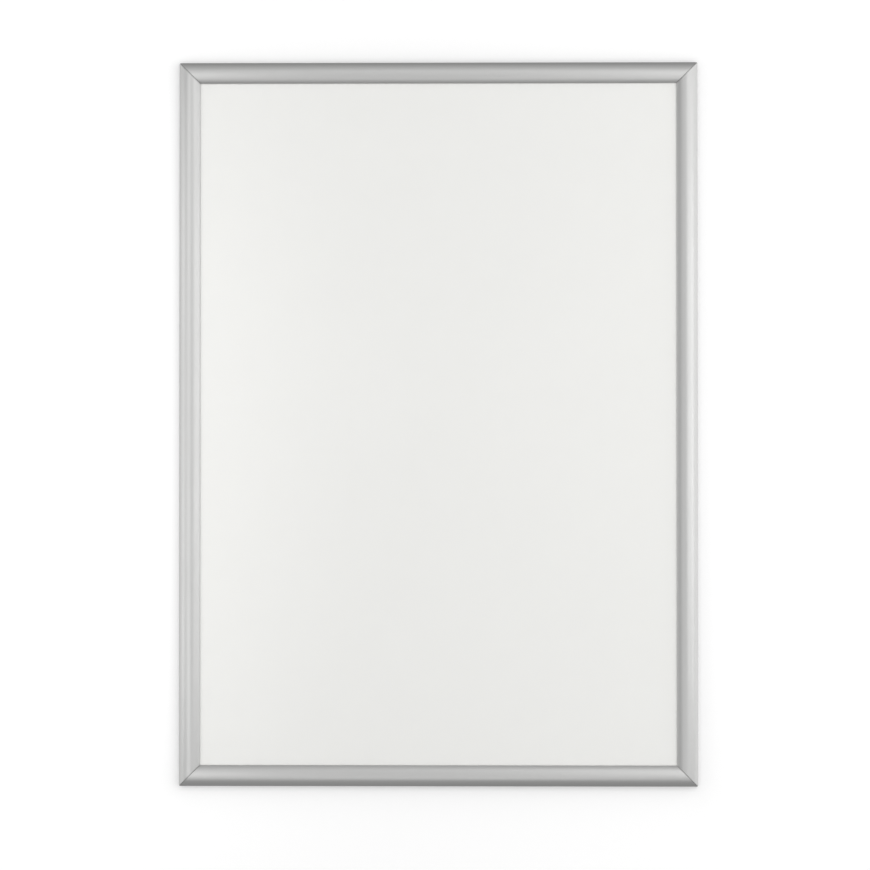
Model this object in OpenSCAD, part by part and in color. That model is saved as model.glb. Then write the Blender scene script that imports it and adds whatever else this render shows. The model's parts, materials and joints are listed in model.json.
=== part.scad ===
// Snap-open poster frame for a wall.
// Four mitred base rails carry four hinged snap rails, which clamp a clear sheet and a poster
// against a back panel. Leaf springs in the base rails hold each snap rail shut or open.
//
// The row frame: X along the width, Z up, the wall at Y = 0 and the front towards -Y.
// The origin is the centre of the wall screw pattern, on the wall.
//
// Every rail is drawn in its own coordinates and then placed on its side of the frame:
//   s  along the rail, from its middle
//   u  from the frame's outer edge towards its middle
//   v  from the wall towards the front

/* [Poster] */
// Width of the poster
poster_w = 594; // [297:1:841]
// Height of the poster
poster_h = 841; // [420:1:1189]
// Thickness of the poster
poster_t = 0.2; // [0.1:0.05:0.5]
// How far the snap rails cover each edge of the poster
poster_cover = 10; // [9:0.5:12]

/* [Sheets] */
// Thickness of the clear front sheet
clear_t = 0.5; // [0.3:0.1:1]
// Thickness of the back panel
panel_t = 1.5; // [1:0.1:2]

/* [Rails] */
// Width of a rail, seen from the front
rail_w = 25; // [24.5:0.5:32]
// Depth from the wall to the crest of the snap rails
depth = 12; // [11.8:0.1:16]
// How far the crest stands above both edges of a snap rail
crown = 4.1; // [3:0.1:4.2]
// Skin of a snap rail
skin = 1.2; // [1:0.1:1.5]
// Wall of a base rail
wall = 1.2; // [1:0.1:1.5]
// Gap at the mitre between two snap rails, measured along each rail
mitre_gap = 0.15; // [0.1:0.05:0.4]

/* [Hinge] */
// Radius of the bead that a snap rail turns on
bead_r = 1.0; // [0.8:0.1:1.2]
// Radial clearance between the bead and its socket
hinge_gap = 0.05; // [0.03:0.01:0.1]
// Wall of the socket at its heel
socket_wall = 0.85; // [0.7:0.05:1.1]
// Thickness of the neck under the bead
neck_t = 0.8; // [0.6:0.1:1]
// Clearance left where a snap rail stops
stop_gap = 0.1; // [0.05:0.05:0.2]

/* [Springs] */
// Springs in each upright rail
springs_upright = 4; // [3:1:6]
// Springs in each level rail
springs_level = 3; // [1:1:5]
// Width of a spring, along its rail
spring_w = 22; // [12:1:40]
// Thickness of the spring strip
spring_t = 0.4; // [0.3:0.05:0.5]
// Rise of the arch in a spring
spring_rise = 0.8; // [0.4:0.1:1.2]

/* [Corner keys] */
// Thickness of a corner key
key_t = 2; // [1.5:0.1:3]
// Length of each arm of a corner key, from its outer corner
key_arm = 52; // [40:1:80]
// Thread diameter of the grub screws
grub_d = 4; // [3:0.5:4.5]
// Distance between the two grub screws of an arm
grub_pitch = 16; // [10:1:24]

/* [Wall holes] */
// Diameter of the holes for the wall screws
hole_d = 5; // [4:0.5:6]

/* [Hidden] */
$fn = 96;
tiny = 0.01;

// The frame's outer size: the rails cover the poster's edges and stand outside them.
frame_w = poster_w - 2 * poster_cover + 2 * rail_w;
frame_h = poster_h - 2 * poster_cover + 2 * rail_w;

// Levels of the base rail, and of the stack that it carries
key_gap = 0.2;
ledge_v = 2 * wall + key_t + key_gap;
panel_top_v = ledge_v + panel_t;
poster_top_v = panel_top_v + poster_t;
clear_top_v = poster_top_v + clear_t;

// The hinge's axis. The socket's heel is a square corner around it.
socket_r = bead_r + hinge_gap;
heel_r = socket_r + socket_wall;
hinge_u = heel_r;
hinge_v = ledge_v + stop_gap + heel_r;
window = neck_t / 2 + stop_gap + 0.05;

// The snap rail's skin is an arc over the whole width of the rail.
skin_r = (pow(rail_w / 2, 2) + crown * crown) / (2 * crown);
skin_centre = [rail_w / 2, depth - skin_r];
web_wall = 0.6;
lip_t = 1.2;
// The heel swings towards the neighbouring rail as a snap rail opens, so its ends stop short
// of the mitre by as much.
heel_end = sqrt(window * window + heel_r * heel_r) - window;

// Places across the base rail
inner_edge_u = rail_w - 1;
poster_edge_u = rail_w - poster_cover;
panel_gap = 0.2;
panel_edge_u = poster_edge_u - 1;
post_u = panel_edge_u - panel_gap - wall;
shelf_u = heel_r + socket_r + 0.45;
flange_t = 1;
flange_gap = 0.05;
flange_end_u = poster_edge_u - 0.4;
foot_r = 0.5;

// The groove that holds the springs' feet, on the outer side of the post
groove_h = 0.9;
groove_d = 1;
groove_lip = 0.8;

// The channel for the corner keys, open to the wall through a slot
channel_u0 = post_u + wall;
channel_u1 = inner_edge_u - wall;
channel_mid_u = (channel_u0 + channel_u1) / 2;
slot_lip = 1.8;
key_side_gap = 0.1;
key_w = channel_u1 - channel_u0 - 2 * key_side_gap;
grub_l = ledge_v - wall - 0.4;
grub_socket_af = grub_d / 2;
grub_socket_depth = 1.5;
grub_gap = 0.02;

// The wall screws go through the floor, between the shelf and the groove.
hole_u = (heel_r + hinge_u + post_u - groove_d) / 2;

// Sides of the frame in order, each a quarter turn from the last
SIDES = ["bottom", "right", "top", "left"];
CORNERS = ["bottom_right", "top_right", "top_left", "bottom_left"];
function is_upright(side) = side % 2 == 1;
function rail_length(side) = is_upright(side) ? frame_h : frame_w;
function side_distance(side) = is_upright(side) ? frame_w / 2 : frame_h / 2;
function spring_count(side) = is_upright(side) ? springs_upright : springs_level;
function spring_pitch(side) = rail_length(side) / spring_count(side);
function spring_s(side, i) = spring_pitch(side) * (i + 0.5) - rail_length(side) / 2;
// The outermost gaps between springs are clear for the wall screws.
hole_s = frame_h / 2 - spring_pitch(1);

function spring_name(side, i) = str("spring_", SIDES[side], "_", i + 1);

// ---- helpers ----

// Carries a rail's own coordinates (s, u, v) to its side of the frame.
module on_side(side) {
    rotate([0, -90 * side, 0])
        translate([0, 0, -side_distance(side)])
            rotate([90, 0, 0])
                children();
}

// Carries a section drawn in (u, v) along s, centred on s = 0.
module along_rail(length) {
    rotate([90, 0, 90])
        linear_extrude(height = length, center = true)
            children();
}

// Keeps what lies between a rail's two mitres, each moved in by gap.
module mitred(side, gap) {
    half = rail_length(side) / 2 - gap;
    intersection() {
        children();
        translate([0, 0, -1])
            linear_extrude(height = depth + 2)
                polygon([[-half, 0], [half, 0], [half - rail_w, rail_w], [-half + rail_w, rail_w]]);
    }
}

// A rectangle of a section, from corner to corner.
module block(u0, v0, u1, v1) {
    translate([u0, v0]) square([u1 - u0, v1 - v0]);
}

// A strip bent to an arc: its middle line has radius r, and runs from angle a0 to a1.
module bent_strip(centre, r, a0, a1) {
    reach = 2 * (r + spring_t);
    translate(centre)
        intersection() {
            difference() {
                circle(r + spring_t / 2);
                circle(r - spring_t / 2);
            }
            polygon(concat([[0, 0]], [for (k = [0:4]) reach * [cos(a0 + (a1 - a0) * k / 4),
                                                              sin(a0 + (a1 - a0) * k / 4)]]));
        }
}

// ---- base rails ----

// Section of a base rail: outer wall, floor and shelf, the neck with its bead,
// the post with its groove and flange, and the ledge over the key channel.
module base_section() {
    difference() {
        union() {
            block(0, 0, wall, ledge_v);
            block(0, 0, channel_u0 + slot_lip, wall);
            block(0, ledge_v - wall, shelf_u, ledge_v);
            block(hinge_u - neck_t / 2, ledge_v - wall / 2, hinge_u + neck_t / 2, hinge_v);
            translate([hinge_u, hinge_v]) circle(bead_r);
            block(post_u, 0, channel_u0, panel_top_v + flange_gap + flange_t);
            block(post_u, ledge_v - wall, inner_edge_u, ledge_v);
            block(post_u, panel_top_v + flange_gap, flange_end_u, panel_top_v + flange_gap + flange_t);
            block(post_u - groove_d, ledge_v - groove_lip, post_u + tiny, ledge_v);
            block(post_u - groove_d, ledge_v + groove_h, post_u + tiny, ledge_v + groove_h + groove_lip);
            block(channel_u1, 0, inner_edge_u, ledge_v);
            block(channel_u1 - slot_lip, 0, inner_edge_u, wall);
        }
        foot_corner(0, 0);
        foot_corner(inner_edge_u, 90);
    }
}

// What a rounded corner at the wall leaves out. The corner is at u, turned by angle.
module foot_corner(u, angle) {
    translate([u, 0])
        rotate(angle)
            difference() {
                translate([-1, -1]) square(1 + foot_r);
                translate([foot_r, foot_r]) circle(foot_r);
                translate([foot_r, -2]) square([1, 4 + foot_r]);
                translate([-2, foot_r]) square([4 + foot_r, 1]);
            }
}

module base_rail(side) {
    color("silver")
        on_side(side)
            mitred(side, 0)
                difference() {
                    along_rail(rail_length(side)) base_section();
                    if (is_upright(side))
                        for (s = [-hole_s, hole_s])
                            translate([s, hole_u, -1]) cylinder(d = hole_d, h = wall + 2);
                }
}

// ---- snap rails ----

// Everything under the skin's outer arc
module under_skin() {
    intersection() {
        translate(skin_centre) circle(skin_r, $fn = 360);
        block(0, 0, rail_w, depth + 1);
    }
}

// Section of a snap rail above the hinge's axis: skin, lip, and the upper half of the socket.
module snap_section_upper() {
    difference() {
        intersection() {
            under_skin();
            union() {
                difference() {
                    block(0, hinge_v, rail_w, depth + 1);
                    translate(skin_centre) circle(skin_r - skin, $fn = 360);
                }
                block(0, hinge_v, hinge_u + socket_r + web_wall, depth);
                block(rail_w - lip_t, clear_top_v, rail_w, depth);
            }
        }
        translate([hinge_u, hinge_v]) circle(socket_r);
        block(-1, 0, hinge_u, hinge_v + window);
        block(0, 0, rail_w - lip_t, hinge_v);
        block(rail_w / 2, 0, rail_w + 1, clear_top_v);
    }
}

// Section of the heel below the hinge's axis. The springs press on its outer face when the
// snap rail is shut, and on its lower face when the snap rail stands open.
module heel_section() {
    difference() {
        block(hinge_u + window, hinge_v - heel_r, hinge_u + heel_r, hinge_v + tiny);
        translate([hinge_u, hinge_v]) circle(socket_r);
    }
}

// Keeps what stays on its own side of the mitre when a snap rail stands open, so the ends of
// the jaw are bevelled and neighbouring snap rails can stand open together.
module jaw_bevelled(side) {
    half = rail_length(side) / 2 - mitre_gap - hinge_u;
    intersection() {
        children();
        translate([0, rail_w + 1, hinge_v])
            rotate([90, 0, 0])
                linear_extrude(height = rail_w + 2)
                    polygon([[-half, 0], [half, 0], [half + depth, depth], [-half - depth, depth]]);
    }
}

module snap_rail(side) {
    color("gainsboro")
        on_side(side) {
            jaw_bevelled(side)
                mitred(side, mitre_gap)
                    along_rail(rail_length(side)) snap_section_upper();
            mitred(side, mitre_gap + heel_end)
                along_rail(rail_length(side)) heel_section();
        }
}

// ---- springs ----

tab_u = hinge_u + heel_r + 0.05 + spring_t / 2;
spring_v = ledge_v + groove_h / 2;
spring_foot_u = post_u - 0.15;
arch_u1 = post_u - groove_d - 0.2;
bend_r = 0.6;
tab_top_v = hinge_v + heel_r - 0.8;

// The arch is as wide as it can be between the foot and the bend, which it meets at a tangent.
function arch_angle(half) = 2 * atan(spring_rise / half);
function arch_left(half) = tab_u + bend_r * (1 + sin(arch_angle(half)));
arch_guess = (arch_u1 - arch_left((arch_u1 - tab_u) / 2)) / 2;
arch_half = (arch_u1 - arch_left(arch_guess)) / 2;
arch_a = arch_angle(arch_half);
arch_r = arch_half / sin(arch_a);
arch_centre = [arch_u1 - arch_half, spring_v - arch_r * cos(arch_a)];
bend_centre = [tab_u + bend_r, spring_v + bend_r * cos(arch_a)];

// Section of a spring: foot in its groove, arch, bend, and the tab that presses on the heel.
module spring_section() {
    block(arch_u1 - spring_t / 4, spring_v - spring_t / 2, spring_foot_u, spring_v + spring_t / 2);
    translate([arch_u1, spring_v]) circle(spring_t / 2);
    bent_strip(arch_centre, arch_r, 90 - arch_a, 90 + arch_a + 0.3);
    bent_strip(bend_centre, bend_r, 180, 270 + arch_a + 1);
    block(tab_u - spring_t / 2, bend_centre[1] - tiny, tab_u + spring_t / 2, tab_top_v + tiny);
    bent_strip([tab_u + bend_r, tab_top_v], bend_r, 110, 180);
}

module spring(side, i) {
    color("dimgray")
        on_side(side)
            translate([spring_s(side, i), 0, 0])
                along_rail(spring_w) spring_section();
}

// ---- corner keys ----

function grub_at(k) = channel_u0 + key_side_gap + key_arm - 8 - k * grub_pitch;

// Carries coordinates measured from a corner along both rails to that corner of the frame.
// Corner i joins side i to the side after it.
module at_corner(i) {
    on_side(i)
        translate([rail_length(i) / 2, 0, 0])
            children();
}

module key_arms() {
    start = channel_u0 + key_side_gap;
    end = start + key_arm;
    translate([-end, start, wall]) cube([key_arm, key_w, key_t]);
    translate([-start - key_w, start, wall]) cube([key_w, key_arm, key_t]);
}

module each_grub() {
    for (k = [0, 1]) {
        translate([-grub_at(k), channel_mid_u, 0]) children();
        translate([-channel_mid_u, grub_at(k), 0]) children();
    }
}

module corner_key(i) {
    color("lightsteelblue")
        at_corner(i)
            difference() {
                key_arms();
                each_grub() translate([0, 0, -1]) cylinder(r = grub_d / 2 + grub_gap, h = depth);
            }
}

// A grub screw presses on the ledge and its socket is reached through the slot.
module grub_screws(i) {
    top_v = ledge_v - wall;
    color("slategray")
        at_corner(i)
            each_grub()
                difference() {
                    translate([0, 0, top_v - grub_l]) cylinder(d = grub_d, h = grub_l);
                    translate([0, 0, top_v - grub_l - 1])
                        cylinder(d = grub_socket_af / cos(30), h = grub_socket_depth + 1, $fn = 6);
                }
}

// ---- sheets ----

// A sheet centred on the frame, from level v to v + t.
module sheet(w, h, v, t) {
    translate([-w / 2, -v - t, -h / 2]) cube([w, t, h]);
}

module back_panel() {
    color("whitesmoke")
        sheet(frame_w - 2 * panel_edge_u, frame_h - 2 * panel_edge_u, ledge_v, panel_t);
}

module poster() {
    color("white") sheet(poster_w, poster_h, panel_top_v, poster_t);
}

module clear_sheet() {
    color("azure") sheet(poster_w, poster_h, poster_top_v, clear_t);
}

for (side = [0:3]) {
    base_rail(side);
    snap_rail(side);
    for (i = [0:spring_count(side) - 1])
        spring(side, i);
    corner_key(side);
    grub_screws(side);
}
back_panel();
poster();
clear_sheet();
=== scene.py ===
"""Looks of a wall-mounted snap poster frame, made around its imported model.

Four mitred snap rails, a clear sheet, a poster and a back panel are made here as surfaces. The
base rails, springs, corner keys and grub screws keep their own solids and get their finishes.
"""

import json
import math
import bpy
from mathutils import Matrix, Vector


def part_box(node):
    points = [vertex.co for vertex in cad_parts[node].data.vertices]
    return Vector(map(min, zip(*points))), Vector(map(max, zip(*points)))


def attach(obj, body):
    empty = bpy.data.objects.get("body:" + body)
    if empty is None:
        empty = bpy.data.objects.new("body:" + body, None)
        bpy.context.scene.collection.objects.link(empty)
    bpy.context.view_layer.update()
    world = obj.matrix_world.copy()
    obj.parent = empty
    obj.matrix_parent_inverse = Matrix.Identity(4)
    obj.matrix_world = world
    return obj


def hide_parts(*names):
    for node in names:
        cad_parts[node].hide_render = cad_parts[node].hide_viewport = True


bl_info = {
    "name": "Snap Poster Frame",
    "version": (1, 0, 0),
    "blender": (4, 5, 0),
    "location": "View3D > Sidebar > Snap Frame",
    "description": "Builds the rails, sheets and finishes of a snap-open poster frame",
    "category": "Add Mesh",
}

import bpy
import numpy as np
from bpy.props import FloatProperty, FloatVectorProperty, PointerProperty
from mathutils import Vector

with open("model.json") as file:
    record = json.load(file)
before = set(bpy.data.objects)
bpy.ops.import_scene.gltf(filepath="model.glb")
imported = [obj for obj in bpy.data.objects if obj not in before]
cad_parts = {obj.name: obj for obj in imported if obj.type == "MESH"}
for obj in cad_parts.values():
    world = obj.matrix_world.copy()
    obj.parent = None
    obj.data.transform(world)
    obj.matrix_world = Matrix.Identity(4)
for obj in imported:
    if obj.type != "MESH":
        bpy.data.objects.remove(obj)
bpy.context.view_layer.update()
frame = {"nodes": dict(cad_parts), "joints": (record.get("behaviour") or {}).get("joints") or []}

SIDES = ("bottom", "right", "top", "left")
HINGES = {joint["child"]: joint["pos_m"] for joint in frame["joints"]}

# The frame's outer size, and where the hinge's axis lies on a rail: u from the frame's outer
# edge and v from the wall.
FRAME_W = 2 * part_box("base_rail_right")[1].x
FRAME_H = 2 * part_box("base_rail_top")[1].z
HINGE_U = FRAME_H / 2 + HINGES["bottom_snap"][2]
HINGE_V = -HINGES["bottom_snap"][1]
RAIL_LOW, RAIL_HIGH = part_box("snap_rail_right")
SHEET_TOP_V = -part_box("clear_sheet")[0].y

# Radii of the small corners in a snap rail's section, and how many points its arcs have
INSIDE_ROUND = 0.00012
HEEL_ROUND = 0.0002
NOTCH_ROUND = 0.00005
OUTER_POINTS, INNER_POINTS, SOCKET_POINTS = 84, 64, 34

# Rings along a snap rail: those that round each sawn end, and those between, which keep within
# a share of its length
END_RINGS, MIDDLE_RINGS = 5, 9
MIDDLE_REACH = 0.98

# Rings on each face of a sheet and round its rim, the share of the face that the innermost ring
# leaves to be filled, and the radius of a sheet's corners
FACE_RINGS, RIM_RINGS = 11, 7
FACE_FILL = 0.001
SHEET_CORNER = 0.0006

# Faces of a piece that meet at more than this angle keep a sharp edge between them
SHARP_ANGLE = math.radians(38)

# The stage, in metres. The wall stands a hair behind the frame's back, and the floor lies below
# what the camera sees. The wall's painted shadow round the frame and both glows are shares, and
# the painted shadow's fade is a length.
WALL_SIDE = 5.0
WALL_Y = 0.0004
FLOOR_DEPTH = 6.0
FLOOR_Z = -1.5
WALL_PAINTED_SHADOW, WALL_FADE, WALL_GLOW = 0.06, 0.03, 0.17
FLOOR_GLOW = 0.3
WORLD_LIGHT = 0.45
WORLD_SEEN = 0.86

# The camera: its lens in millimetres, how far it is from the point that it faces, and its turn
# and rise round that point
LENS = 120.0
CAMERA_AIM = (-0.0039, -0.006, -0.0133)
CAMERA_DISTANCE = 3.492
CAMERA_AZIMUTH = math.radians(0.8)
CAMERA_ELEVATION = math.radians(-0.7)


# ---------------------------------------------------------------- sizes and colours


class SnapFrameSizes(bpy.types.PropertyGroup):
    """Sizes of the pieces that are made here, in metres."""

    rail_width: FloatProperty(
        name="Rail Width",
        description="Width of a snap rail, seen from the front",
        default=RAIL_HIGH.x - RAIL_LOW.x,
        min=0.02,
        unit="LENGTH",
    )
    depth: FloatProperty(
        name="Depth",
        description="From the wall to the crest of the snap rails",
        default=0.012,
        min=0.008,
        unit="LENGTH",
    )
    crown: FloatProperty(
        name="Crown",
        description="How far the crest stands above both edges of a snap rail",
        default=0.0041,
        min=0.001,
        unit="LENGTH",
    )
    skin: FloatProperty(
        name="Skin",
        description="Thickness of a snap rail's skin",
        default=0.0012,
        min=0.0006,
        unit="LENGTH",
    )
    lip: FloatProperty(
        name="Lip",
        description="Thickness of the lip that presses on the clear sheet",
        default=0.0012,
        min=0.0006,
        unit="LENGTH",
    )
    web: FloatProperty(
        name="Web",
        description="Thickness of the web between the socket and the rail's hollow",
        default=0.0006,
        min=0.0003,
        unit="LENGTH",
    )
    socket_radius: FloatProperty(
        name="Socket Radius",
        description="Inner radius of the socket that turns on the base rail's bead",
        default=0.00105,
        min=0.0005,
        unit="LENGTH",
    )
    heel: FloatProperty(
        name="Heel",
        description="From the hinge's axis to each flat face of the heel",
        default=0.0019,
        min=0.001,
        unit="LENGTH",
    )
    window: FloatProperty(
        name="Window",
        description="From the hinge's axis to the two edges of the socket's mouth",
        default=0.00055,
        min=0.0002,
        unit="LENGTH",
    )
    mitre_gap: FloatProperty(
        name="Mitre Gap",
        description="How far a snap rail's end stands back from the mitre, along the rail",
        default=0.00025,
        min=0.0,
        unit="LENGTH",
    )
    edge_round: FloatProperty(
        name="Edge Rounding",
        description="Radius of a snap rail's two long outer edges",
        default=0.0004,
        min=0.00005,
        unit="LENGTH",
    )
    cut_round: FloatProperty(
        name="Cut Rounding",
        description="Radius left on the sawn ends of a snap rail",
        default=0.00028,
        min=0.00002,
        unit="LENGTH",
    )
    sheet_gap: FloatProperty(
        name="Sheet Gap",
        description="Air left behind the back panel, the poster and the clear sheet",
        default=0.00002,
        min=0.0,
        unit="LENGTH",
    )


class SnapFrameColours(bpy.types.PropertyGroup):
    """Base colours of the finishes."""

    aluminium: FloatVectorProperty(
        name="Anodised Aluminium",
        description="Satin silver of the rails",
        default=(0.505, 0.505, 0.50),
        min=0.0,
        max=1.0,
        subtype="COLOR",
    )
    spring_steel: FloatVectorProperty(
        name="Spring Steel",
        description="Leaf springs",
        default=(0.40, 0.41, 0.43),
        min=0.0,
        max=1.0,
        subtype="COLOR",
    )
    zinc: FloatVectorProperty(
        name="Zinc",
        description="Plating on the corner keys",
        default=(0.62, 0.64, 0.66),
        min=0.0,
        max=1.0,
        subtype="COLOR",
    )
    oxide: FloatVectorProperty(
        name="Black Oxide",
        description="Grub screws",
        default=(0.055, 0.055, 0.06),
        min=0.0,
        max=1.0,
        subtype="COLOR",
    )
    panel: FloatVectorProperty(
        name="Back Panel",
        description="White polystyrene",
        default=(0.78, 0.78, 0.765),
        min=0.0,
        max=1.0,
        subtype="COLOR",
    )
    paper: FloatVectorProperty(
        name="Paper",
        description="The blank poster",
        default=(0.915, 0.914, 0.892),
        min=0.0,
        max=1.0,
        subtype="COLOR",
    )
    wall: FloatVectorProperty(
        name="Wall",
        description="The wall behind the frame",
        default=(0.93, 0.93, 0.93),
        min=0.0,
        max=1.0,
        subtype="COLOR",
    )


# ---------------------------------------------------------------- shapes


def rounded(corners, radii, steps=6):
    """Rounds a closed outline's corners, all at once. Each corner gives way to an arc that
    touches both of its sides. The arc's centre lies on the corner's bisector, at the radius over
    the sine of half the angle, and its points turn evenly from one side to the other. A corner of
    radius 0 stays."""
    before = np.roll(corners, 1, axis=0) - corners
    after = np.roll(corners, -1, axis=0) - corners
    before /= np.linalg.norm(before, axis=1, keepdims=True)
    after /= np.linalg.norm(after, axis=1, keepdims=True)
    half = np.arccos(np.clip((before * after).sum(1), -1, 1)) / 2
    bisector = before + after
    length = np.linalg.norm(bisector, axis=1, keepdims=True)
    bisector = np.where(length > 1e-9, bisector / np.maximum(length, 1e-9), 0)
    radii = np.where(length[:, 0] > 1e-6, radii, 0)
    centre = corners + bisector * (radii / np.maximum(np.sin(half), 1e-9))[:, None]
    touch = (radii / np.maximum(np.tan(half), 1e-9))[:, None]
    start, end = corners + before * touch - centre, corners + after * touch - centre
    turn = np.maximum(math.pi - 2 * half, 1e-6)[:, None, None]
    share = np.linspace(0, 1, steps)[None, :, None]
    arc = np.sin((1 - share) * turn) * start[:, None] + np.sin(share * turn) * end[:, None]
    points = centre[:, None] + arc / np.sin(turn)
    points = np.where((radii > 0)[:, None, None], points, corners[:, None]).reshape(-1, 2)
    apart = np.linalg.norm(points - np.roll(points, 1, axis=0), axis=1) > 1e-8
    return points[apart]


def arc_points(centre, radius, start, end, count):
    """Points on a circle, at even angles from start to end."""
    angle = np.linspace(start, end, count)
    return np.array(centre) + radius * np.stack([np.cos(angle), np.sin(angle)], axis=1)


def snap_outline(size):
    """A snap rail's section in (u, v). The outside is an arc through both edges and the crest:
    its radius is (half width squared + crown squared) / (2 crown). The inside is the same arc
    less the skin. The lip drops from the inner edge to the sheet. Round the hinge's axis is the
    socket, with a jaw above its mouth and a square heel below it."""
    width, depth, crown = size.rail_width, size.depth, size.crown
    radius = (width**2 / 4 + crown**2) / (2 * crown)
    centre = (width / 2, depth - radius)
    lean = math.asin(width / 2 / radius)
    outer = arc_points(centre, radius, math.pi / 2 + lean, math.pi / 2 - lean, OUTER_POINTS)

    inner_radius = radius - size.skin
    lip_u = width - size.lip
    web_u = HINGE_U + size.socket_radius + size.web
    inner = arc_points(
        centre,
        inner_radius,
        math.acos((lip_u - centre[0]) / inner_radius),
        math.acos((web_u - centre[0]) / inner_radius),
        INNER_POINTS,
    )

    mouth = math.asin(size.window / size.socket_radius)
    axis = (HINGE_U, HINGE_V)
    mouth_low, mouth_high = mouth - math.pi / 2, math.pi - mouth
    socket = arc_points(axis, size.socket_radius, mouth_low, mouth_high, SOCKET_POINTS)
    window_u, jaw_v = HINGE_U + size.window, HINGE_V + size.window
    heel_u, heel_v = HINGE_U + size.heel, HINGE_V - size.heel

    edge, small = size.edge_round, INSIDE_ROUND
    parts = [
        ([[0, jaw_v]], [small]),
        (outer, np.r_[edge, np.zeros(len(outer) - 2), edge]),
        ([[width, SHEET_TOP_V], [lip_u, SHEET_TOP_V]], [small, small]),
        (inner, np.r_[small, np.zeros(len(inner) - 2), small]),
        ([[web_u, HINGE_V], [heel_u, HINGE_V]], [0, NOTCH_ROUND]),
        ([[heel_u, heel_v], [window_u, heel_v]], [HEEL_ROUND, small]),
        (socket, np.zeros(len(socket))),
    ]
    corners = np.concatenate([np.asarray(points, float) for points, _ in parts])
    return rounded(corners, np.concatenate([radii for _, radii in parts]))


def snap_end(outline, half_length, size):
    """How far along a snap rail each point of its section reaches. The mitre falls back by u. The
    jaw's ends are bevelled at 45 degrees under the hinge's axis, and the heel stops short by what
    it swings towards the next rail, so neighbouring rails can stand open together."""
    u, v = outline[:, 0], outline[:, 1]
    half = half_length - size.mitre_gap
    swing = math.hypot(size.window, size.heel) - size.window
    mitre = np.minimum(half - u, half - HINGE_U + v - HINGE_V)
    return np.where(v < HINGE_V - 1e-7, half - u - swing, mitre)


def outward(outline):
    """The outline's outward unit normals: each point's chord between its neighbours, turned by a
    right angle away from the middle of the area."""
    chord = np.roll(outline, -1, axis=0) - np.roll(outline, 1, axis=0)
    chord /= np.linalg.norm(chord, axis=1, keepdims=True)
    nxt = np.roll(outline, -1, axis=0)
    area = (outline[:, 0] * nxt[:, 1] - outline[:, 1] * nxt[:, 0]).sum() / 2
    return np.stack([chord[:, 1], -chord[:, 0]], axis=1) * math.copysign(1, area)


def on_side(side, s, u, v):
    """Carries a rail's own coordinates to its side of the frame: s along it, u from its outer
    edge inwards and v from the wall. Each side is a quarter turn from the last."""
    turn = SIDES.index(side)
    reach = (FRAME_H if turn % 2 == 0 else FRAME_W) / 2
    x, z = ((s, u - reach), (reach - u, s), (-s, reach - u), (u - reach, -s))[turn]
    return np.stack(np.broadcast_arrays(x, -v, z), axis=-1)


def snap_surface(side, size):
    """A snap rail. The section is carried along the rail in rings. At each sawn end an angle
    goes from a right angle to 0. The outline draws in by the cut's rounding times (1 - cos), and
    the ring stands back from the end by the rounding times (1 - sin), which is a quarter
    round."""
    outline = snap_outline(size)
    inwards = -outward(outline)
    length = FRAME_W if side in ("bottom", "top") else FRAME_H
    angle = np.linspace(math.pi / 2, 0, END_RINGS)
    middle = np.zeros(MIDDLE_RINGS)
    draw_in = np.r_[1 - np.cos(angle), middle, 1 - np.cos(angle[::-1])]
    stop = np.r_[1 - np.sin(angle), middle, 1 - np.sin(angle[::-1])]
    between = np.linspace(-MIDDLE_REACH, MIDDLE_REACH, MIDDLE_RINGS)
    along = np.r_[-np.ones(END_RINGS), between, np.ones(END_RINGS)]
    section = outline[None] + inwards[None] * (draw_in * size.cut_round)[:, None, None]
    ends = np.stack([snap_end(ring, length / 2, size) for ring in section])
    s = along[:, None] * (ends - (stop * size.cut_round)[:, None])
    sides = np.linalg.norm(np.diff(outline, axis=0, append=outline[:1]), axis=1)
    across = np.r_[0, np.cumsum(sides)]
    uv = np.stack(np.broadcast_arrays(np.c_[s, s[:, :1]], across[None]), axis=-1)
    return on_side(side, s, section[..., 0], section[..., 1]), uv


def sheet_surface(low, high, corner_round, count=10):
    """A flat sheet with a rounded rim. The first parameter runs round a rectangle whose corners
    are quarter circles, and each stretch between two of its points is cut into count - 1
    pieces. The second runs from the middle of the front out to the rim, round the rim's half
    circle, and back to the middle of the back."""
    half = np.array([high[0] - low[0], high[2] - low[2]]) / 2
    middle = np.array([high[0] + low[0], high[2] + low[2]]) / 2
    box = np.array([[-1, -1], [1, -1], [1, 1], [-1, 1]]) * half
    rim = rounded(box, np.full(4, corner_round))
    steps = np.linspace(0, 1, count)[None, :, None]
    rim = (rim[:, None] + (np.roll(rim, -1, axis=0) - rim)[:, None] * steps[:, :-1]).reshape(-1, 2)
    thick = high[1] - low[1]
    bend = np.linspace(0, math.pi, RIM_RINGS)
    face = np.ones(FACE_RINGS)
    spread = np.linspace(FACE_FILL, 1, FACE_RINGS + 1)[:-1]
    gather = np.linspace(1, FACE_FILL, FACE_RINGS + 1)[1:]
    share = np.r_[spread, np.ones(RIM_RINGS), gather]
    inset = thick / 2 * np.r_[face, 1 - np.sin(bend), face]
    rim_y = (low[1] + high[1]) / 2 - thick / 2 * np.cos(bend)
    y = np.r_[low[1] * face, rim_y, high[1] * face]
    flat = rim[None] * share[:, None, None] * (1 - inset[:, None, None] / half)
    x, z = flat[..., 0] + middle[0], flat[..., 1] + middle[1]
    place = np.stack(np.broadcast_arrays(x, y[:, None], z), axis=-1)
    uv = np.concatenate([flat, flat[:, :1]], axis=1) + middle
    return place, uv


def wall_surface(side, y, count=25):
    """A square wall round the origin that faces the front, as an even grid."""
    steps = np.linspace(-side / 2, side / 2, count)
    x, z = np.meshgrid(steps, steps)
    return np.stack([x, np.full_like(x, y), z], axis=-1)


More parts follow.
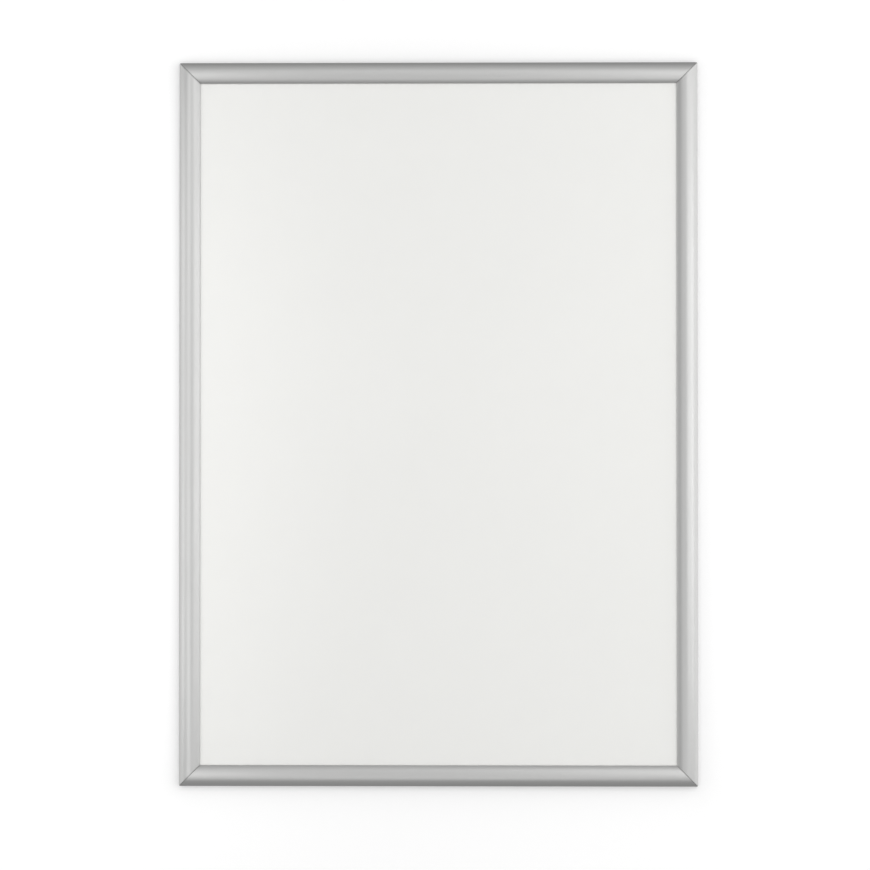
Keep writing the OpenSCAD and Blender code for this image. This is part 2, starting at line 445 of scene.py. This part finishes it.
def floor_surface(width, depth, z, count=9):
    """A flat floor that reaches forward from the wall and faces up, as an even grid."""
    x, y = np.meshgrid(np.linspace(-width / 2, width / 2, count), np.linspace(-depth, 0.0, count))
    return np.stack([x, y, np.full_like(x, z)], axis=-1)


def closed_mesh(name, grid, uv):
    """Makes an object of a grid of rings. Neighbouring rings are joined by quads that run right
    round, the first and last rings are filled, and all faces are turned outwards: the solid's
    volume, summed over the quads' two triangles, must come out positive."""
    rings, points = grid.shape[:2]
    ring, point = np.meshgrid(np.arange(rings - 1), np.arange(points), indexing="ij")
    nxt = (point + 1) % points
    here, there = ring * points, (ring + 1) * points
    quads = np.stack([here + point, here + nxt, there + nxt, there + point], axis=-1)
    quads = quads.reshape(-1, 4)
    places = [(ring, point), (ring, point + 1), (ring + 1, point + 1), (ring + 1, point)]
    quad_uv = np.stack([uv[a, b] for a, b in places], axis=2).reshape(-1, 4, 2)
    caps = [np.arange(points)[::-1], np.arange(points) + (rings - 1) * points]
    cap_uv = [uv[0, :points][::-1], uv[-1, :points]]
    co = grid.reshape(-1, 3)
    a, b, c, d = (co[quads[:, k]] for k in range(4))
    volume = (a * np.cross(b, c)).sum() + (a * np.cross(c, d)).sum()
    for cap in caps:
        volume += (co[cap[0]] * np.cross(co[cap[1:-1]], co[cap[2:]])).sum()
    if volume < 0:
        quads, quad_uv = quads[:, ::-1], quad_uv[:, ::-1]
        caps, cap_uv = [cap[::-1] for cap in caps], [one[::-1] for one in cap_uv]
    mesh = bpy.data.meshes.new(name)
    mesh.from_pydata(co.tolist(), [], quads.tolist() + [cap.tolist() for cap in caps])
    all_uv = np.concatenate([quad_uv.reshape(-1, 2), *cap_uv]).astype(np.float32)
    mesh.uv_layers.new(name="UVMap").data.foreach_set("uv", all_uv.ravel())
    mesh.polygons.foreach_set("use_smooth", np.ones(len(mesh.polygons), bool))
    mesh.set_sharp_from_angle(angle=SHARP_ANGLE)
    mesh.validate()
    made = bpy.data.objects.new(name, mesh)
    bpy.context.scene.collection.objects.link(made)
    weighted = made.modifiers.new("Weighted Normal", "WEIGHTED_NORMAL")
    weighted.keep_sharp = True
    return made


def open_mesh(name, grid):
    """Makes an object of an open grid of quads. They face the side from which its columns run to
    the right and its rows run up."""
    rows, columns = grid.shape[:2]
    row, column = np.meshgrid(np.arange(rows - 1), np.arange(columns - 1), indexing="ij")
    first = row * columns + column
    quads = np.stack([first, first + 1, first + columns + 1, first + columns], -1).reshape(-1, 4)
    mesh = bpy.data.meshes.new(name)
    mesh.from_pydata(grid.reshape(-1, 3).tolist(), [], quads.tolist())
    made = bpy.data.objects.new(name, mesh)
    bpy.context.scene.collection.objects.link(made)
    return made


# ---------------------------------------------------------------- finishes


def feed(tree, node, sockets):
    """Gives each socket its value, or the output that feeds it. A socket goes by its name, with
    underscores for spaces, or by _0, _1 where sockets share a name."""
    for name, value in sockets.items():
        key = int(name[1:]) if name[0] == "_" else name.replace("_", " ")
        if isinstance(value, bpy.types.NodeSocket):
            tree.links.new(value, node.inputs[key])
        else:
            node.inputs[key].default_value = value


def add_node(tree, kind, x, y, **sockets):
    """Adds a node and feeds its sockets."""
    made = tree.nodes.new(kind)
    made.location = (x, y)
    feed(tree, made, sockets)
    return made


def add_noise(tree, dimensions, x, y, detail, **sockets):
    """Adds a Noise Texture node and gives its output."""
    made = tree.nodes.new("ShaderNodeTexNoise")
    made.noise_dimensions = dimensions
    made.location = (x, y)
    feed(tree, made, {**sockets, "Detail": detail})
    return made.outputs[0]


def maths(tree, operation, x, y, *values, clamp=False):
    """Adds a Math node and gives its output."""
    made = add_node(tree, "ShaderNodeMath", x, y, **{f"_{k}": v for k, v in enumerate(values)})
    made.operation = operation
    made.use_clamp = clamp
    return made.outputs[0]


def fit(tree, x, y, value, low, high, to_low, to_high):
    """Adds a Map Range node and gives its output."""
    made = add_node(tree, "ShaderNodeMapRange", x, y, Value=value, From_Min=low, From_Max=high)
    made.inputs["To Min"].default_value = to_low
    made.inputs["To Max"].default_value = to_high
    return made.outputs[0]


def spread_noise(tree, x, y, noise, to_low, to_high):
    """A noise, most of which lies between 0.2 and 0.8, spread from one number to another."""
    return fit(tree, x, y, noise, 0.2, 0.8, to_low, to_high)


def shade_of(tree, x, y, colour, factor):
    """The colour times a factor that changes over the surface."""
    made = add_node(tree, "ShaderNodeMix", x, y)
    made.data_type, made.blend_type = "RGBA", "MULTIPLY"
    made.inputs[0].default_value = 1.0
    made.inputs[6].default_value = (*colour, 1.0)
    tree.links.new(factor, made.inputs[7])
    return made.outputs[2]


def new_group(name, inputs, outputs):
    """A shader node group with named inputs (name, socket type, default) and outputs."""
    tree = bpy.data.node_groups.new(name, "ShaderNodeTree")
    for label, kind, default in inputs:
        socket = tree.interface.new_socket(name=label, in_out="INPUT", socket_type=kind)
        if default is not None:
            socket.default_value = default
    for label in outputs:
        tree.interface.new_socket(name=label, in_out="OUTPUT", socket_type="NodeSocketFloat")
    return tree, tree.nodes.new("NodeGroupInput"), tree.nodes.new("NodeGroupOutput")


def make_die_lines():
    """Faint lines that an extrusion die leaves along a rail. The vector is in metres, with x
    along the rail and y across it. A fine noise that only changes across the rail is mixed with
    a broader one that also drifts slowly along it."""
    tree, given, gives = new_group(
        "Die Lines",
        [
            ("Vector", "NodeSocketVector", None),
            ("Fine Per Metre", "NodeSocketFloat", 2600.0),
            ("Broad Per Metre", "NodeSocketFloat", 420.0),
        ],
        ["Lines"],
    )
    drift_per_metre, fine_share, broad_share = 3.0, 0.45, 0.55
    parts = add_node(tree, "ShaderNodeSeparateXYZ", -600, 0, Vector=given.outputs["Vector"])
    x, y = parts.outputs["X"], parts.outputs["Y"]
    across = maths(tree, "MULTIPLY", -400, 0, y, given.outputs["Fine Per Metre"])
    fine = add_noise(tree, "1D", -40, 0, 1.0, W=across, Scale=1.0)
    across = maths(tree, "MULTIPLY", -400, -200, y, given.outputs["Broad Per Metre"])
    along = maths(tree, "MULTIPLY", -400, -280, x, drift_per_metre)
    place = add_node(tree, "ShaderNodeCombineXYZ", -220, -200, X=along, Y=across)
    broad = add_noise(tree, "2D", -40, -200, 1.0, Vector=place.outputs[0], Scale=1.0)
    both = maths(tree, "MULTIPLY", 140, 0, fine, fine_share)
    total = maths(tree, "MULTIPLY_ADD", 300, 0, broad, broad_share, both)
    tree.links.new(total, gives.inputs["Lines"])
    return tree


def make_fine_grain():
    """A fine even grain, such as an etched metal's or a paper's, from one noise."""
    tree, given, gives = new_group(
        "Fine Grain",
        [("Vector", "NodeSocketVector", None), ("Scale", "NodeSocketFloat", 3000.0)],
        ["Grain"],
    )
    vector, scale = given.outputs["Vector"], given.outputs["Scale"]
    noise = add_noise(tree, "3D", -300, 0, 1.0, Vector=vector, Scale=scale)
    tree.links.new(noise, gives.inputs["Grain"])
    return tree


def make_handling():
    """Soft cloudy marks that hands and a wiping cloth leave: a wide noise, pushed towards its
    ends."""
    tree, given, gives = new_group(
        "Handling Marks",
        [("Vector", "NodeSocketVector", None), ("Scale", "NodeSocketFloat", 9.0)],
        ["Marks"],
    )
    vector, scale = given.outputs["Vector"], given.outputs["Scale"]
    noise = add_noise(tree, "3D", -300, 0, 2.0, Vector=vector, Scale=scale)
    marks = fit(tree, -80, 0, noise, 0.35, 0.7, 0.0, 1.0)
    tree.links.new(marks, gives.inputs["Marks"])
    return tree


def make_mitre_shade_mask():
    """A mask for the painted shade along the seam where two rails meet: 0 on the mitre and 1 away
    from it. The distance is that between the two distances from the frame's outer edges,
    (width / 2 - |x|) - (height / 2 - |z|), taken without its sign."""
    tree, given, gives = new_group(
        "Mitre Shade Mask",
        [("Vector", "NodeSocketVector", None), ("Half Width", "NodeSocketFloat", 0.00035)],
        ["Away"],
    )
    parts = add_node(tree, "ShaderNodeSeparateXYZ", -760, 0, Vector=given.outputs["Vector"])
    across = maths(tree, "ABSOLUTE", -580, 80, parts.outputs["X"])
    up = maths(tree, "ABSOLUTE", -580, -80, parts.outputs["Z"])
    apart = maths(tree, "SUBTRACT", -400, 0, up, across)
    apart = maths(tree, "SUBTRACT", -230, 0, apart, (FRAME_H - FRAME_W) / 2)
    apart = maths(tree, "ABSOLUTE", -60, 0, apart)
    away = maths(tree, "DIVIDE", 110, 0, apart, given.outputs["Half Width"], clamp=True)
    tree.links.new(away, gives.inputs["Away"])
    return tree


def group_node(tree, name, x, y, **sockets):
    """Places a node group, made before, and gives its first output."""
    made = tree.nodes.new("ShaderNodeGroup")
    made.node_tree = bpy.data.node_groups[name]
    made.location = (x, y)
    feed(tree, made, sockets)
    return made.outputs[0]


def grain_and_marks(tree, place, grain_scale, marks_scale):
    """Places the grain and the handling marks that every finish of the frame has."""
    grain = group_node(tree, "Fine Grain", -860, -120, Vector=place, Scale=grain_scale)
    marks = group_node(tree, "Handling Marks", -860, -320, Vector=place, Scale=marks_scale)
    return grain, marks


def new_finish(name, **sockets):
    """A material with a Principled shader whose sockets are set by name. Gives the material, its
    tree and the shader."""
    made = bpy.data.materials.new(name)
    made.use_nodes = True
    shader = made.node_tree.nodes["Principled BSDF"]
    feed(made.node_tree, shader, sockets)
    return made, made.node_tree, shader


def bump(tree, shader, height, strength, distance):
    """Feeds the shader's normal from a height."""
    made = add_node(tree, "ShaderNodeBump", -200, -500, Height=height, Strength=strength)
    made.inputs["Distance"].default_value = distance
    tree.links.new(made.outputs["Normal"], shader.inputs["Normal"])


def anodised(name, colour, turn=None):
    """Satin anodised aluminium: etched grain, faint die lines along the rail, and soft handling
    marks in the gloss. Without a turn the lines follow the piece's own UV map. With one, they
    follow its Object coordinates, turned so that x runs along the rail, and a dark line of
    painted shade is laid along the mitre's seam, where the joint's hairline gap would lie in
    shade."""
    made, tree, shader = new_finish(name, Metallic=1.0, Roughness=0.38)
    lines_tone, marks_rough, seam_shade_tone = 0.03, 0.035, 0.3
    place = add_node(tree, "ShaderNodeTexCoord", -1300, 0)
    along, where = place.outputs["UV"], place.outputs["Object"]
    if turn is not None:
        turned = add_node(tree, "ShaderNodeMapping", -1100, 0, Vector=where, Rotation=turn)
        along = turned.outputs[0]
    lines = group_node(tree, "Die Lines", -860, 100, Vector=along)
    grain, marks = grain_and_marks(tree, where, 2400.0, 8.0)
    tone = spread_noise(tree, -640, 300, grain, 0.965, 0.995)
    tone = maths(tree, "MULTIPLY_ADD", -640, 160, lines, lines_tone, tone)
    if turn is not None:
        # Painted shade: the base colour darkens along the mitre's seam, in place of the shade in
        # its gap
        seam = group_node(tree, "Mitre Shade Mask", -860, 420, Vector=where)
        seam = fit(tree, -640, 500, seam, 0.0, 1.0, seam_shade_tone, 1.0)
        tone = maths(tree, "MULTIPLY", -560, 240, tone, seam)
    tree.links.new(shade_of(tree, -420, 200, colour, tone), shader.inputs["Base Color"])
    rough = spread_noise(tree, -640, -260, lines, 0.355, 0.385)
    rough = maths(tree, "MULTIPLY_ADD", -640, -120, marks, marks_rough, rough)
    tree.links.new(rough, shader.inputs["Roughness"])
    height = maths(tree, "MULTIPLY_ADD", -420, -400, grain, 0.5, lines)
    bump(tree, shader, height, 0.05, 0.00003)
    return made


def rolled_steel(name, colour, roughness, scale):
    """Bright rolled strip: fine grain, a little cloudy tarnish that darkens and dulls it."""
    made, tree, shader = new_finish(name, Metallic=1.0, Roughness=roughness)
    tarnish_tone, tarnish_rough = -0.16, 0.12
    place = add_node(tree, "ShaderNodeTexCoord", -1300, 0).outputs["Object"]
    grain, marks = grain_and_marks(tree, place, scale, 60.0)
    tone = spread_noise(tree, -640, 300, grain, 0.92, 1.04)
    tone = maths(tree, "MULTIPLY_ADD", -640, 160, marks, tarnish_tone, tone)
    tree.links.new(shade_of(tree, -420, 200, colour, tone), shader.inputs["Base Color"])
    rough = maths(tree, "MULTIPLY_ADD", -640, -120, marks, tarnish_rough, roughness)
    tree.links.new(rough, shader.inputs["Roughness"])
    bump(tree, shader, grain, 0.12, 0.00005)
    return made


def white_board(name, colour, roughness, scale, bump_height):
    """A matt white board or paper: fibres or moulding grain, with broad faint shading."""
    made, tree, shader = new_finish(name, Roughness=roughness, IOR=1.46)
    shading_tone, rough_swing = -0.006, 0.05
    place = add_node(tree, "ShaderNodeTexCoord", -1300, 0).outputs["Object"]
    grain, marks = grain_and_marks(tree, place, scale, 3.0)
    tone = spread_noise(tree, -640, 300, grain, 0.99, 1.0)
    tone = maths(tree, "MULTIPLY_ADD", -640, 160, marks, shading_tone, tone)
    tree.links.new(shade_of(tree, -420, 200, colour, tone), shader.inputs["Base Color"])
    low, high = roughness - rough_swing, roughness + rough_swing
    rough = spread_noise(tree, -640, -120, grain, low, high)
    tree.links.new(rough, shader.inputs["Roughness"])
    bump(tree, shader, grain, 0.15, bump_height)
    return made


def anti_glare(name):
    """A clear sheet whose front is finely pebbled against glare. Most light goes straight
    through, and the rest is a soft veil that changes a little over the sheet."""
    veil = (0.95, 0.95, 0.945, 1.0)
    made, tree, shader = new_finish(name, Base_Color=veil, Roughness=0.34, IOR=1.5)
    place = add_node(tree, "ShaderNodeTexCoord", -1300, 0).outputs["Object"]
    grain, marks = grain_and_marks(tree, place, 1500.0, 4.0)
    tree.links.new(fit(tree, -640, -120, marks, 0.0, 1.0, 0.11, 0.13), shader.inputs["Alpha"])
    rough = fit(tree, -640, -320, marks, 0.0, 1.0, 0.32, 0.37)
    tree.links.new(rough, shader.inputs["Roughness"])
    bump(tree, shader, grain, 0.1, 0.00003)
    return made


def stage_wall(name, colour, shadow, reach, glow):
    """A plain matt wall that glows a little in its own colour, with nothing to see from behind.
    Close round the frame a shadow is painted into its colour and glow: they darken softly, by the
    shadow's share times e to the power of minus the distance from the frame's outline over the
    reach."""
    made, tree, shader = new_finish(name, Roughness=0.95, Specular_IOR_Level=0.0)
    shader.inputs["Emission Strength"].default_value = glow
    place = add_node(tree, "ShaderNodeTexCoord", -1500, 0).outputs["Object"]
    parts = add_node(tree, "ShaderNodeSeparateXYZ", -1300, 0, Vector=place)
    outside = []
    for k, (axis, half) in enumerate((("X", FRAME_W / 2), ("Z", FRAME_H / 2))):
        away = maths(tree, "ABSOLUTE", -1120, -160 * k, parts.outputs[axis])
        away = maths(tree, "SUBTRACT", -960, -160 * k, away, half)
        away = maths(tree, "MAXIMUM", -800, -160 * k, away, 0.0)
        outside.append(maths(tree, "POWER", -640, -160 * k, away, 2.0))
    away = maths(tree, "SQRT", -320, 0, maths(tree, "ADD", -480, 0, *outside))
    fade = maths(tree, "EXPONENT", 0, 0, maths(tree, "MULTIPLY", -160, 0, away, -1 / reach))
    # Painted shadow: darkens the wall's colour and glow close round the frame
    tone = maths(tree, "MULTIPLY_ADD", 160, 0, fade, -shadow, 1.0)
    tree.links.new(shade_of(tree, 320, 100, colour, tone), shader.inputs["Base Color"])
    tree.links.new(shade_of(tree, 320, -200, colour, tone), shader.inputs["Emission Color"])
    behind = add_node(tree, "ShaderNodeNewGeometry", 320, 400).outputs["Backfacing"]
    clear = add_node(tree, "ShaderNodeBsdfTransparent", 320, 300).outputs[0]
    shader.location = (560, 0)
    matt = shader.outputs[0]
    mix = add_node(tree, "ShaderNodeMixShader", 860, 200, _0=behind, _1=matt, _2=clear)
    output = tree.nodes["Material Output"]
    output.location = (1060, 200)
    tree.links.new(mix.outputs[0], output.inputs["Surface"])
    return made


def dress(node_name, material):
    """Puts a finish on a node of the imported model, whose mesh stays as it is."""
    node = frame["nodes"][node_name]
    if not node.material_slots:
        node.data.materials.append(material)
    for one in node.material_slots:
        one.material = material
    return node


def nodes_named(start):
    """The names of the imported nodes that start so, in order."""
    return sorted(name for name in frame["nodes"] if name.startswith(start))


# ---------------------------------------------------------------- operators


class SNAPFRAME_OT_patterns(bpy.types.Operator):
    """Makes the shared patterns: die lines, fine grain, handling marks and the mitre's painted
    shade mask
    """

    bl_idname = "snapframe.patterns"
    bl_label = "Shared Patterns"

    def execute(self, context):
        make_die_lines()
        make_fine_grain()
        make_handling()
        make_mitre_shade_mask()
        return {"FINISHED"}


class SNAPFRAME_OT_snap_rails(bpy.types.Operator):
    """Makes the four snap rails in place of their plain solids"""

    bl_idname = "snapframe.snap_rails"
    bl_label = "Snap Rails"

    def execute(self, context):
        size, colours = context.scene.snapframe_sizes, context.scene.snapframe_colours
        finish = anodised("Satin Anodised Snap Rail", colours.aluminium)
        for side in SIDES:
            grid, uv = snap_surface(side, size)
            rail = closed_mesh(f"snap_rail_{side}_extrusion", grid, uv)
            rail.data.materials.append(finish)
            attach(rail, f"{side}_snap")
            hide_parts(f"snap_rail_{side}")
        return {"FINISHED"}


class SNAPFRAME_OT_base_rails(bpy.types.Operator):
    """Finishes the four base rails with die lines that run along each"""

    bl_idname = "snapframe.base_rails"
    bl_label = "Base Rails"

    def execute(self, context):
        colour = context.scene.snapframe_colours.aluminium
        right_angle = math.pi / 2
        level = anodised("Satin Anodised Level Rail", colour, (right_angle, 0, 0))
        upright = anodised("Satin Anodised Upright Rail", colour, (right_angle, 0, right_angle))
        for side in SIDES:
            dress(f"base_rail_{side}", level if side in ("bottom", "top") else upright)
        return {"FINISHED"}


class SNAPFRAME_OT_sheets(bpy.types.Operator):
    """Makes the back panel, the poster and the clear sheet"""

    bl_idname = "snapframe.sheets"
    bl_label = "Sheets"

    def execute(self, context):
        size, colours = context.scene.snapframe_sizes, context.scene.snapframe_colours
        board, paper = "Back Panel Polystyrene", "Poster Paper"
        finishes = {
            "back_panel": white_board(board, colours.panel, 0.55, 900.0, 0.00008),
            "poster": white_board(paper, colours.paper, 0.70, 2200.0, 0.00003),
            "clear_sheet": anti_glare("Anti-Glare Clear Sheet"),
        }
        for node_name, finish in finishes.items():
            low, high = (np.array(corner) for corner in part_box(node_name))
            high[1] -= size.sheet_gap
            grid, uv = sheet_surface(low, high, SHEET_CORNER)
            sheet = closed_mesh(f"{node_name}_cut", grid, uv)
            sheet.data.materials.append(finish)
            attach(sheet, "frame")
            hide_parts(node_name)
        return {"FINISHED"}


class SNAPFRAME_OT_springs(bpy.types.Operator):
    """Finishes the leaf springs"""

    bl_idname = "snapframe.springs"
    bl_label = "Leaf Springs"

    def execute(self, context):
        colour = context.scene.snapframe_colours.spring_steel
        steel = rolled_steel("Spring Steel", colour, 0.28, 1800.0)
        for name in nodes_named("spring_"):
            dress(name, steel)
        return {"FINISHED"}


class SNAPFRAME_OT_corner_keys(bpy.types.Operator):
    """Finishes the corner keys and their grub screws"""

    bl_idname = "snapframe.corner_keys"
    bl_label = "Corner Keys"

    def execute(self, context):
        colours = context.scene.snapframe_colours
        zinc = rolled_steel("Zinc Plate", colours.zinc, 0.38, 700.0)
        oxide = rolled_steel("Black Oxide", colours.oxide, 0.42, 1500.0)
        for name in nodes_named("corner_key_"):
            dress(name, zinc)
        for name in nodes_named("grub_screws_"):
            dress(name, oxide)
        return {"FINISHED"}


# Soft boxes: name, place, size and how much light each sends out in watts. Two small ones also
# have a place of their own that they face, and a narrower spread in degrees.
LIGHTS = (
    ("left_near_front_box", (-0.42, -0.6, 0.0), (0.25, 1.0), 0.17, (-0.5, 0.0, 0.0), 80),
    ("left_near_box", (-0.92, -0.6, 0.0), (0.25, 1.0), 0.34, (-0.6, 0.0, 0.0), 80),
    ("left_side_box", (-1.6, -0.5, 0.0), (1.0, 2.0), 4.2),
    ("left_front_box", (-1.2, -2.8, 0.0), (1.6, 2.0), 6.3),
    ("right_near_front_box", (0.6, -1.4, 0.1), (0.32, 1.3), 1.55),
    ("right_near_box", (1.3, -1.3, 0.1), (0.4, 1.3), 3.6),
    ("right_side_box", (1.6, -0.5, 0.1), (1.0, 2.0), 6.9),
    ("right_front_box", (1.2, -2.8, 0.3), (1.6, 1.9), 7.0),
    ("camera_fill", (0.0, -3.0, 0.0), (1.2, 1.4), 1.7),
    ("upper_front_box", (0.0, -2.4, 1.2), (2.0, 0.8), 3.7),
    ("lower_front_box", (0.0, -2.4, -1.2), (2.0, 0.8), 4.5),
    ("upper_box", (0.0, -1.5, 1.6), (2.0, 1.2), 2.5),
    ("rear_box", (0.8, 3.4, 1.2), (4.0, 4.0), 58.0),
)


def soft_box(name, place, size, watts, target=(0.0, 0.0, 0.0), spread=180):
    """An area light that faces the target and doesn't show itself."""
    light = bpy.data.lights.new(name, "AREA")
    light.shape, light.size, light.size_y = "RECTANGLE", size[0], size[1]
    light.energy, light.spread = watts, math.radians(spread)
    made = bpy.data.objects.new(name, light)
    made.location = place
    made.rotation_euler = (Vector(target) - Vector(place)).to_track_quat("-Z", "Y").to_euler()
    made.visible_camera = False
    bpy.context.scene.collection.objects.link(made)
    return made


def make_wall_and_floor(colour):
    """Makes the wall and the floor. The camera sees them, but they cast no light or shade on the
    frame and don't show in it."""
    wall = open_mesh("stage_wall", wall_surface(WALL_SIDE, WALL_Y))
    # The wall's material has a soft shadow painted round the frame.
    plain = stage_wall("Wall With Painted Shadow", colour, WALL_PAINTED_SHADOW, WALL_FADE, WALL_GLOW)
    wall.data.materials.append(plain)
    floor = open_mesh("stage_floor", floor_surface(WALL_SIDE, FLOOR_DEPTH, FLOOR_Z))
    pale = (*colour, 1.0)
    plain, _, shader = new_finish("Plain Floor", Base_Color=pale, Roughness=0.95)
    shader.inputs["Emission Color"].default_value = pale
    shader.inputs["Emission Strength"].default_value = FLOOR_GLOW
    floor.data.materials.append(plain)
    for one in (wall, floor):
        one.visible_glossy = one.visible_diffuse = False
        one.visible_shadow = one.visible_transmission = False


def make_world(scene):
    """Makes the white surroundings. The camera sees them paler than they light the frame."""
    world = bpy.data.worlds.new("Studio")
    scene.world = world
    world.use_nodes = True
    tree = world.node_tree
    white = (1.0, 1.0, 1.0, 1.0)
    seen = tree.nodes["Background"]
    feed(tree, seen, {"Color": white, "Strength": WORLD_SEEN})
    lights = add_node(tree, "ShaderNodeBackground", 0, -160, Color=white, Strength=WORLD_LIGHT)
    ray = add_node(tree, "ShaderNodeLightPath", 0, 360).outputs["Is Camera Ray"]
    dim, pale = lights.outputs[0], seen.outputs[0]
    mix = add_node(tree, "ShaderNodeMixShader", 240, 100, _0=ray, _1=dim, _2=pale)
    tree.links.new(mix.outputs[0], tree.nodes["World Output"].inputs["Surface"])


def make_camera(scene):
    """Makes the camera, which stands nearly square in front of the frame."""
    lens = bpy.data.cameras.new("front_camera")
    lens.lens, lens.sensor_width = LENS, 36.0
    lens.clip_start, lens.clip_end = 0.05, 50.0
    camera = bpy.data.objects.new("front_camera", lens)
    scene.collection.objects.link(camera)
    level = math.cos(CAMERA_ELEVATION)
    x, y = math.sin(CAMERA_AZIMUTH) * level, -math.cos(CAMERA_AZIMUTH) * level
    back = Vector((x, y, math.sin(CAMERA_ELEVATION)))
    camera.location = Vector(CAMERA_AIM) + back * CAMERA_DISTANCE
    camera.rotation_euler = (-back).to_track_quat("-Z", "Y").to_euler()
    scene.camera = camera


class SNAPFRAME_OT_stage(bpy.types.Operator):
    """Makes the wall, the floor, the lights and the camera"""

    bl_idname = "snapframe.stage"
    bl_label = "Stage"

    def execute(self, context):
        make_wall_and_floor(context.scene.snapframe_colours.wall)
        for one in LIGHTS:
            soft_box(*one)
        make_world(context.scene)
        make_camera(context.scene)
        context.scene.view_settings.view_transform = "Standard"
        context.scene.view_settings.look = "None"
        return {"FINISHED"}


class SNAPFRAME_PT_sidebar(bpy.types.Panel):
    """Lists the sizes, the colours and the pieces of the frame"""

    bl_idname = "SNAPFRAME_PT_sidebar"
    bl_label = "Snap Frame"
    bl_space_type = "VIEW_3D"
    bl_region_type = "UI"
    bl_category = "Snap Frame"

    def draw(self, context):
        for group in (context.scene.snapframe_sizes, context.scene.snapframe_colours):
            box = self.layout.box()
            for name in group.__annotations__:
                box.prop(group, name)
        for operator in OPERATORS:
            self.layout.operator(operator.bl_idname)


OPERATORS = (
    SNAPFRAME_OT_patterns,
    SNAPFRAME_OT_snap_rails,
    SNAPFRAME_OT_base_rails,
    SNAPFRAME_OT_sheets,
    SNAPFRAME_OT_springs,
    SNAPFRAME_OT_corner_keys,
    SNAPFRAME_OT_stage,
)
CLASSES = (SnapFrameSizes, SnapFrameColours, *OPERATORS, SNAPFRAME_PT_sidebar)


def register():
    for one in CLASSES:
        bpy.utils.register_class(one)
    bpy.types.Scene.snapframe_sizes = PointerProperty(type=SnapFrameSizes)
    bpy.types.Scene.snapframe_colours = PointerProperty(type=SnapFrameColours)


def unregister():
    del bpy.types.Scene.snapframe_colours
    del bpy.types.Scene.snapframe_sizes
    for one in reversed(CLASSES):
        bpy.utils.unregister_class(one)


def main():
    """Registers the add-on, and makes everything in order."""
    register()
    for operator in OPERATORS:
        getattr(bpy.ops.snapframe, operator.bl_idname.split(".")[1])()
    bpy.context.view_layer.update()


if __name__ == "__main__":
    main()
